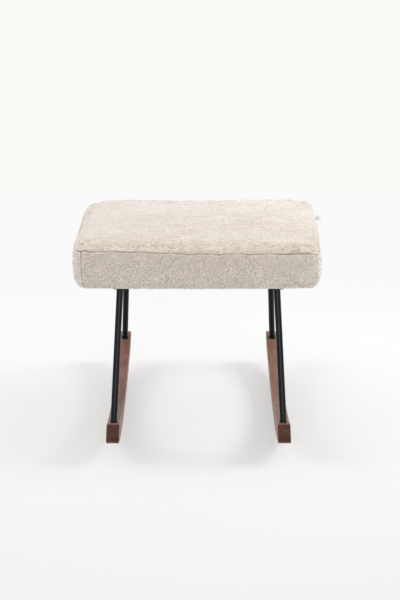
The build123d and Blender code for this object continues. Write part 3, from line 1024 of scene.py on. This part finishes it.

# %% [markdown]
# ## Plush
# Plush is cream at its tips and painted a little darker and warmer deep down, as painted shade
# where less light gets in, and no two locks have quite the same tone. A soft sheen lights up the
# tips where the surface turns away. The bands are grainy, with small dark specks painted in as the
# shadows between the locks, and the top is streaked. Towards the rims of its long sides the top is
# painted darker and browner, as painted shade where the pile parts, and towards the front a little
# darker, as painted shade where less light falls. The backing that shows between the locks has the
# deep colour, and in the seams it is painted nearly brown, as painted shade in the groove.

# %% Mix the plush
plush, tree, shader = new_material(
    "plush_pile", Roughness=0.85, Specular_IOR_Level=0.15, Sheen_Weight=0.25, Sheen_Roughness=0.5
)


def mottled(scale, detail, roughness, distortion, stretch, *stops):
    """The plush's tones in a cloudy pattern."""
    return ramp(tree, noise(tree, scale, detail, roughness, distortion, stretch), *stops)


run = attribute(tree, "above_seam")
depth = axis_of(tree, object_coordinates(tree), "Y")
# Painted shade: each lock is darker and warmer towards its root, where less light gets in.
root_shaded_hair = ramp(
    tree, attribute(tree, "tip"),
    (0.0, (0.85, 0.765, 0.69)), (0.45, (0.95, 0.903, 0.863)), (1.0, (0.965, 0.923, 0.888)),
)
lock_tone = ramp(tree, attribute(tree, "tone"), (0.0, (0.94, 0.93, 0.92)), (0.5, WHITE))
patches = mottled(22, 4, 0.6, 0, (0.35, 1, 1), (0.35, (0.97, 0.96, 0.945)), (0.65, WHITE))
# Painted shadow: small dark specks on the bands for the shadows between the locks.
grain = cells(tree, 330, stretch=(1, 1, 0.8))
shadow_specks = ramp(tree, grain, (0.14, (0.34, 0.31, 0.28)), (0.38, (1.0, 0.995, 0.985)))
brushed = mottled(300, 3, 0.55, 0.4, (0.09, 1, 1), (0.38, (0.89, 0.87, 0.85)), (0.52, WHITE))
warm = mottled(9, 3, 0.55, 0, (0.6, 1, 1), (0.38, (0.955, 0.94, 0.92)), (0.60, WHITE))
# Painted shade: dark brownish specks for the shadows in the pile where it parts along the rims.
rim_shade_specks = mottled(210, 3, 0.6, 0.5, (0.5, 1, 1), (0.38, (0.58, 0.51, 0.45)), (0.52, WHITE))
# Painted shade: the top a little darker towards the front, where less light falls.
painted_dimming_to_front = map_range(tree, depth, 60 * MM, -70 * MM)
front_shade_tone = mix_colours(tree, painted_dimming_to_front, WHITE, (0.965, 0.957, 0.945))
streaks = multiply(tree, brushed, warm, front_shade_tone)
off_middle = calculate(tree, "ABSOLUTE", depth)
# Painted shade: the top darker and browner towards the rims of its long sides.
rim_shade = calculate(
    tree, "MULTIPLY",
    map_range(tree, run, 58 * MM, 4 * MM),
    map_range(tree, off_middle, half_depth - 75 * MM, half_depth - 42 * MM),
    map_range(tree, depth, 0.0, 50 * MM, 1.0, 0.35),      # weaker at the rear
)
streaks = mix_colours(tree, rim_shade, streaks, multiply(tree, streaks, rim_shade_specks, (0.955, 0.913, 0.86)))
tones = mix_colours(tree, calculate(tree, "GREATER_THAN", run, 0.0), shadow_specks, streaks)
feed(
    tree, shader,
    Base_Color=multiply(tree, root_shaded_hair, lock_tone, patches, tones),
    Normal=bump(tree, noise(tree, 2600, 2), 0.3, 0.2 * MM),
)

backing, tree, shader = new_material("plush_backing", Roughness=0.95, Specular_IOR_Level=0.1)
run = attribute(tree, "above_seam")
from_upright = calculate(tree, "ABSOLUTE", attribute(tree, "past_seam"))
from_upright = calculate(tree, "ADD", from_upright, calculate(tree, "GREATER_THAN", run, 0.0))
nearest = calculate(tree, "MINIMUM", calculate(tree, "ABSOLUTE", run), from_upright)
knit = noise(tree, 900, 3)
cloth = ramp(tree, knit, (0.3, (0.80, 0.71, 0.63)), (0.7, (0.88, 0.80, 0.73)))
# Painted shade: the backing nearly brown in and beside the seams.
clear_of_seam_shade = map_range(tree, nearest, 0.4 * MM, 2.2 * MM)
tones = mix_colours(tree, clear_of_seam_shade, (0.17, 0.11, 0.075), cloth)
feed(tree, shader, Base_Color=tones, Normal=bump(tree, knit, 0.4, 0.4 * MM))
cover.data.materials.append(backing)
print("plush mixed")

# %% Grow the five panels' pile and put the cushion on the stool
# Spacing, length, width and height in millimetres, then wander, rise and patches
pile_inputs = ("Spacing", "Length", "Width", "Height", "Wander", "Rise", "Patches")
lengths_first = 4
panel_pile = {
    "top": (2.05, 12.0, 1.9, 1.0, 0.09, 0.01, 0.15),
    "front": (1.3, 3.8, 1.8, 1.9, 0.55, 0.18, 0.5),
    "rear": (1.3, 3.6, 1.8, 1.5, 0.5, 0.16, 0.6),
    "left": (1.3, 3.3, 1.7, 1.5, 0.45, 0.12, 0.6),
    "right": (1.3, 3.3, 1.7, 1.5, 0.45, 0.12, 0.6),
}
first_seed = 11
for number, (panel, values) in enumerate(panel_pile.items()):
    values = [value * MM for value in values[:lengths_first]] + [*values[lengths_first:]]
    piece = grown(
        "pile_" + panel, cover, pile_tree, Panel="grow_" + panel, Seed=number + first_seed,
        Lock=lock, Plush=plush, **dict(zip(pile_inputs, values)),
    )
    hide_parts("cover_" + panel)
    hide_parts("cover_" + panel)
    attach(piece, "root")
bpy.data.objects.remove(lock)
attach(cover, "root")

# %% [markdown]
# ## Wadding and foam
# Under the cover lies a sheet of fibre wadding that goes over the foam block and down past the edge
# of the board. Nobody sees either in the finished stool, but somebody who opens the cover will. The
# wadding is a soft shell with an inner and an outer side, made of the same kind of rings: they
# start inside under the crown, go down to its lower edge and come back up outside. The foam is a
# block with rounded edges that bulges a little, because the cover squeezes it.

# %% Make the wadding and the foam
board_low, board_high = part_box("seat_board")
board_gap = 0.4 * MM
wadding_outer = 11 * MM       # its inset and its drop under the crown, outside
wadding_clearance = 0.8 * MM  # between the foam's form and the wadding's inner side
bulge_share = 0.6             # of the bands' draw, which the wadding follows
wadding_hem = board_low.z + 2 * MM
foam_inset = half_width - board_high.x
foam_drop = crown_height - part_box("seat_foam")[1].z
foam_base = board_high.z + board_gap
foam_top = crown_height - foam_drop
inner_inset, inner_drop = foam_inset - wadding_clearance, foam_drop - wadding_clearance


def at_height(inset, height):
    """A ring of the padding at one height."""
    return settle_corners(ring(inset, height), -0.6)


def rim_rings(inset, drop, additions):
    """Rings of the padding under the crown. The additions to inset and drop are in millimetres."""
    levels = [(inset + more * MM, drop + fall * MM) for more, fall in additions]
    return [settle_corners(ring(place, 0, 1, below), 1) for place, below in levels]


inner_levels = [seam_height - fall * MM for fall in (12, 35, 60)] + [wadding_hem + 2 * MM]
outer_levels = [wadding_hem + rise * MM for rise in (0, 14, 34, 56)] + [seam_height - 8 * MM]
inner_rim = ((12, 0), (3, 2))
outer_rim = ((1, 8), (3, 4), (7, 1.2), (13, 0))
foam_rim = ((4, 2.5), (9, 1))
foam_wall = (                 # what each ring adds to the inset in millimetres, and its height
    (5, foam_base), (1.5, foam_base + 1 * MM), (0.5, foam_base + 4 * MM),
    (0, foam_base + 25 * MM), (0.2, foam_base + 42 * MM), (1, foam_top - 9 * MM),
)

wadding_rings = rim_rings(inner_inset, inner_drop, inner_rim)
wadding_rings += [at_height(inner_inset, height) for height in inner_levels]
for height in outer_levels:
    bulge = band_inset(height - hem_height) * bulge_share
    wadding_rings.append(at_height(wadding_outer + bulge, height))
wadding_rings += rim_rings(wadding_outer, wadding_outer, outer_rim)
wadding_form = closed_form("wadding_layer", wadding_rings, wadding_outer, inner_drop)
foam_rings = [at_height(foam_inset + more * MM, height) for more, height in foam_wall]
foam_rings += rim_rings(foam_inset, foam_drop, foam_rim)
foam_form = closed_form("foam_block", foam_rings, foam_drop + 0.8 * MM)
print("wadding", len(wadding_form.data.vertices), "points, foam", len(foam_form.data.vertices))

# %% Mix and give the wadding's and the foam's finish
fibre, tree, shader = new_material("fibre_wadding", Roughness=0.95, Sheen_Weight=0.2)
tangle = noise(tree, 420, 6, 0.75, 2.5)
tones = ramp(tree, tangle, (0.35, (0.74, 0.74, 0.73)), (0.65, (0.90, 0.90, 0.89)))
feed(tree, shader, Base_Color=tones, Normal=bump(tree, tangle, 0.7, 1.0 * MM))

open_cell, tree, shader = new_material("open_cell_foam", Roughness=0.9)
bubbles = cells(tree, 900)
# Painted shade: the pores are darker in their middles, where they dip in.
tones = ramp(tree, bubbles, (0.1, (0.52, 0.48, 0.33)), (0.5, (0.80, 0.76, 0.58)))
feed(tree, shader, Base_Color=tones, Normal=bump(tree, bubbles, 0.6, 0.5 * MM))

for piece, node, finish, words in (
    (wadding_form, "seat_wadding", fibre, "wadding"),
    (foam_form, "seat_foam", open_cell, "foam"),
):
    smooth(piece, 1)
    piece.data.materials.append(finish)
    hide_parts(node)
    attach(piece, "root")
print("padding in place")

# %% [markdown]
# ## Rows of small things
# Stitches, staples and the ripples of a weld all repeat along a line. One tree of geometry nodes
# makes each of them: it turns a line of edges into a curve, divides it at a pitch, and sets an item
# on each point, along the line and facing the way that the line's points remember.

# %% Build the tree for rows
tree, given = new_tree(
    "row", Line="Geometry", Pitch="Float", Size="Vector", Item="Object", Finish="Material"
)
curve = add_node(tree, "GeometryNodeMeshToCurve", {"Mesh": given["Line"]}).outputs["Curve"]
cut = {"Curve": curve, "Length": given["Pitch"]}
divided = add_node(tree, "GeometryNodeResampleCurve", cut, mode="LENGTH").outputs["Curve"]
tangent = add_node(tree, "GeometryNodeInputTangent").outputs["Tangent"]
rotation = turned(tree, "X", tangent, "Z", remembered(tree, "facing", "FLOAT_VECTOR"))
items = set_items(tree, divided, given["Item"], rotation, given["Size"])
hand_out(tree, items, given["Finish"])
row_tree = tree


def row_of(name, strands, item, finish, pitch, size=(1, 1, 1)):
    """Rows of an item. Each strand is its points, their facings and whether it closes."""
    points, facings, edges = [], [], []
    for strand, facing, closed in strands:
        first, count = len(points), len(strand)
        points.extend(strand)
        facings.extend(facing)
        last = count if closed else count - 1
        edges.extend((first + i, first + (i + 1) % count) for i in range(last))
    line = mesh_object(name + "_line", points, edges=edges)
    store(line.data, "facing", facings)
    row = grown(name, line, row_tree, Pitch=pitch, Size=size, Item=item, Finish=finish)
    for helper in (line, item):
        bpy.data.objects.remove(helper)
    return row


def bead(name, rings, tip_sink=0, lying=False, sides=6):
    """A round item of unit length along Z, or X if lying, from rings of a place and a radius."""
    angles = [2 * pi * step / sides for step in range(sides)]
    points = [(girth * cos(a), girth * sin(a), level) for level, girth in rings for a in angles]
    low, high = len(points), len(points) + 1
    last = low - sides
    points += [(0, -tip_sink, -0.5), (0, -tip_sink, 0.5)]
    faces = wall_faces(len(rings), sides)
    faces += [(low, (i + 1) % sides, i) for i in range(sides)]
    faces += [(high, last + i, last + (i + 1) % sides) for i in range(sides)]
    made = mesh_object(name, np.roll(points, int(lying), axis=1), faces)
    made.data.shade_smooth()
    return made


print("row tree:", len(row_tree.nodes), "nodes")

# %% [markdown]
# ## Seam thread
# The panels are sewn with a beige thread at the bottom of each seam, where it shows only when the
# pile is parted. A stitch is a spindle of thread, thick in its middle and sunk at both ends.

# %% Sew the seams
thread, tree, shader = new_material("seam_thread", Roughness=0.55, Sheen_Weight=0.2)
twist = noise(tree, 3000, 2)
tones = ramp(tree, twist, (0.35, (0.46, 0.36, 0.28)), (0.65, (0.64, 0.53, 0.43)))
feed(tree, shader, Base_Color=tones, Normal=bump(tree, twist, 0.5, 0.1 * MM))

stitch_pitch = 4.2 * MM
thread_size = (3.9 * MM, 0.9 * MM, 0.9 * MM)
stitch = bead("stitch", ((-0.3, 0.4), (0.0, 0.5), (0.3, 0.4)), tip_sink=0.3, lying=True)
seam_points = rings[seam_ring]
seam_out = outward_from_middle(seam_points)
strands = [(seam_points + seam_out * 0.3 * MM, seam_out, True)]
band_rings = np.array(rings[len(under_insets) : seam_ring])
for column in np.flatnonzero(np.abs(ring_past) < on_seam):
    upright = band_rings[:, column]
    outward = np.repeat(seam_out[column : column + 1], len(upright), 0)
    strands.append((upright - outward * (crease_depth - 0.4 * MM), outward, False))
stitches = row_of("seam_stitches", strands, stitch, thread, stitch_pitch, thread_size)
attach(stitches, "root")

# %% [markdown]
# ## Tag
# A plain white ribbon is sewn into the right-hand seam. It is one strip, folded in two, so it is a
# flat loop with a round end, and its free end has twisted to the front. The strip follows a line of
# points: out along the lower layer, round the fold, and back along the upper one.

# %% Fold the tag
tag_low, tag_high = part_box("side_tag")
tag_width = tag_high.y - tag_low.y
tag_rise = radians(50)        # of the frame's tag
layer_gap = 0.55 * MM
ribbon_half = 0.16 * MM
tag_reach = (tag_high.z - tag_low.z) / sin(tag_rise) - layer_gap
runs = np.linspace(0, tag_reach - layer_gap, 9)
curl = 0.9 * MM * (runs / tag_reach) ** 2
fold = np.linspace(-pi / 2, pi / 2, 9)[1:-1]
lower = np.stack([runs, curl - layer_gap], 1)
upper = np.stack([runs, curl + layer_gap], 1)[::-1]
bend = np.stack([runs[-1] + layer_gap * np.cos(fold), curl[-1] + layer_gap * np.sin(fold)], 1)
path = np.concatenate([lower, bend, upper])
along = unit(np.gradient(path, axis=0))
across = np.stack([-along[:, 1], along[:, 0]], 1) * ribbon_half
lengths = run_along(path)

tag_hang = radians(38)        # it has sunk a little since it was sewn in
tag_twist = radians(38)       # of its free end, towards the front
tag_steps = 10
root = np.array([tag_low.x + 3.5 * MM, (tag_low.y + tag_high.y) / 2, tag_low.z - 3.5 * MM])
away = np.array([cos(tag_hang), 0, sin(tag_hang)])
raised = np.array([-sin(tag_hang), 0, cos(tag_hang)])
level = np.array([0, 1, 0])
# Each step across the width is a loop of points: along one side of the strip and back on the other
loop_path = np.concatenate([path + across, (path - across)[::-1]])
loop_lengths = np.append(lengths, lengths[::-1])
tag_points, tag_uvs = [], []
for step in range(tag_steps + 1):
    share = step / tag_steps
    for (u, w), length in zip(loop_path, loop_lengths):
        twist = tag_twist * clamp(u / tag_reach) ** 1.3
        flat = level * cos(twist) + raised * sin(twist)
        tall = raised * cos(twist) - level * sin(twist)
        tag_points.append(root + away * u + flat * (share - 0.5) * tag_width + tall * w)
        tag_uvs.append((length, share * tag_width))
loop = len(loop_path)
tag_faces = wall_faces(tag_steps + 1, loop)
for i in range(len(path) - 1):
    edge = [loop - 1 - i, loop - 2 - i, i + 1, i]
    tag_faces += [edge, [tag_steps * loop + number for number in edge[::-1]]]
tag = mesh_object("ribbon_tag", tag_points, tag_faces)
uv = tag.data.uv_layers.new(name="ribbon")
for corner in tag.data.loops:
    uv.data[corner.index].uv = tag_uvs[corner.vertex_index]
tag.data.shade_smooth()

ribbon, tree, shader = new_material("white_ribbon", Roughness=0.6, Sheen_Weight=0.15)
woven = add_node(tree, "ShaderNodeUVMap", uv_map="ribbon").outputs["UV"]
warp, weft = [
    add_node(tree, "ShaderNodeTexWave", {"Vector": woven, "Scale": scale}, bands_direction=axis)
    for scale, axis in ((650.0, "X"), (420.0, "Y"))
]
weave = calculate(tree, "MULTIPLY", warp.outputs["Fac"], weft.outputs["Fac"])
# Painted shade: the ribbon is darker where the weave dips between its threads.
tones = ramp(tree, weave, (0.0, (0.84, 0.84, 0.82)), (0.5, (0.94, 0.94, 0.925)))
feed(tree, shader, Base_Color=tones, Normal=bump(tree, weave, 0.4, 0.15 * MM))
tag.data.materials.append(ribbon)
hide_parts("side_tag")
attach(tag, "root")
print("tag", round(float(lengths[-1]), 4), "m of ribbon")

# %% [markdown]
# ## Lining
# A thin black sheet closes the seat from below. It is cut to size, its edge lies flat, and it is
# stapled to the board all round, so it is pulled straight at the staples and hangs a little between
# them and in the middle. A grid bent by two small sums does that, and Solidify gives its thickness.

# %% Stretch the lining
lining_low, lining_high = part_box("underside_lining")
lining_size = (lining_high.x - lining_low.x, lining_high.y - lining_low.y)
half_x, half_y = lining_size[0] / 2, lining_size[1] / 2
lining_level = (lining_low.z + lining_high.z) / 2 + 0.05 * MM
middle_sag = 1.6 * MM
edge_pull = 0.12 * MM
staple_pitch = 38 * MM
rail_share = 0.68             # of the lining's half width, where the rails hold it up
columns, lines = 97, 69
gx, gy = np.meshgrid(np.linspace(-1, 1, columns), np.linspace(-1, 1, lines), indexing="ij")
sag = middle_sag * clamp((rail_share - np.abs(gx)) / 0.2) ** 2 * (1 - gy**2)
pull = edge_pull * gy**12 * np.cos(2 * pi * gx * half_x / staple_pitch)
grid = np.stack([gx * half_x, gy * half_y, lining_level - sag + pull], -1).reshape(-1, 3)
number = np.arange(columns * lines).reshape(columns, lines)
lining = mesh_object("lining_cloth", grid, quads_of(number.T))
wall = lining.modifiers.new("cloth", "SOLIDIFY")
wall.thickness = 0.4 * MM
wall.offset = 0
apply_modifiers(lining)
lining.data.shade_smooth()

spunbond, tree, shader = new_material("black_spunbond", Roughness=0.9, Sheen_Weight=0.1)
fibres = noise(tree, 700, 5, 0.7, 2.0)
black = ramp(tree, fibres, (0.3, (0.012, 0.012, 0.013)), (0.7, (0.038, 0.038, 0.040)))
relief = calculate(tree, "ADD", calculate(tree, "MULTIPLY", fibres, 0.4), cells(tree, 420, 0.15))
feed(tree, shader, Base_Color=black, Normal=bump(tree, relief, 0.4, 0.3 * MM))
lining.data.materials.append(spunbond)
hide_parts("underside_lining")
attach(lining, "root")

# %% Drive the staples
wire = 0.5 * MM
wire_half_width = 0.6 * MM
half_crown = 5 * MM
leg_depth = -4 * MM
staple_edge = 9 * MM
clear_of_rail = 8 * MM
clear_of_corner = 20 * MM
# The wire's outer line, leg by leg, then its flat section going round
staple_points = []
for x, z in ((-half_crown, leg_depth), (-half_crown, 0), (half_crown, 0), (half_crown, leg_depth)):
    inner_x, inner_z = x - np.sign(x) * wire, z - wire * (z == 0)
    staple_points += [(px, y * wire_half_width, pz) for px, y, pz in (
        (x, -1, z), (inner_x, -1, inner_z), (inner_x, 1, inner_z), (x, 1, z),
    )]
staple_faces = wall_faces(4, 4) + [(3, 2, 1, 0), (12, 13, 14, 15)]
staple = mesh_object("staple", staple_points, staple_faces)
edge_x, edge_y = half_x - staple_edge, half_y - staple_edge
staple_level = lining_level - 0.55 * MM
rail_low, rail_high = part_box("rail_right")
rail_out, rail_in = rail_high.x + clear_of_rail, rail_low.x - clear_of_rail
strands = []
for side in (-1, 1):
    y, end = side * edge_y, edge_y - clear_of_corner
    stretches = (-edge_x, -rail_out), (-rail_in, rail_in), (rail_out, edge_x)
    rows = [((start, y), (stop, y)) for start, stop in stretches]
    for line in rows + [((side * edge_x, -end), (side * edge_x, end))]:
        strands.append(([(*place, staple_level) for place in line], [(0, 0, -1)] * 2, False))
staples = row_of("lining_staples", strands, staple, zinc_plate, staple_pitch)
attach(staples, "root")

# %% [markdown]
# ## Welds
# Each leg is welded to the underside of its rail, and the bead shows as a ring of small ripples
# under the black paint. The ring of the leg's own top points, read from its mesh, gives the line,
# and the row tree sets a flattened drop of weld metal every millimetre or so, each over the last.

# %% Weld the legs to the rails
drop = bead("weld_drop", ((-0.1, 0.5), (0.25, 0.43)))
drop_pitch = 1.3 * MM
drop_size = (2.6 * MM, 3.6 * MM, 1.8 * MM)
turns = np.linspace(0, 2 * pi, 48, endpoint=False)
circle = np.stack([np.cos(turns), np.sin(turns), 0 * turns], 1)
strands = []
for name in ("leg_front_left", "leg_front_right", "leg_rear_left", "leg_rear_right"):
    leg_points = read(frame["nodes"][name].data.vertices, "co", 3)
    top = leg_points[leg_points[:, 2] > leg_points[:, 2].max() - 0.2 * MM]
    middle = (top.max(axis=0) + top.min(axis=0)) / 2 - (0, 0, 0.9 * MM)
    reach = (top.max(axis=0) - top.min(axis=0)) / 2 + 0.5 * MM
    strands.append((middle + reach * circle, circle - (0, 0, 0.8), True))
welds = row_of("leg_welds", strands, drop, powder_coat, drop_pitch, drop_size)
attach(welds, "root")
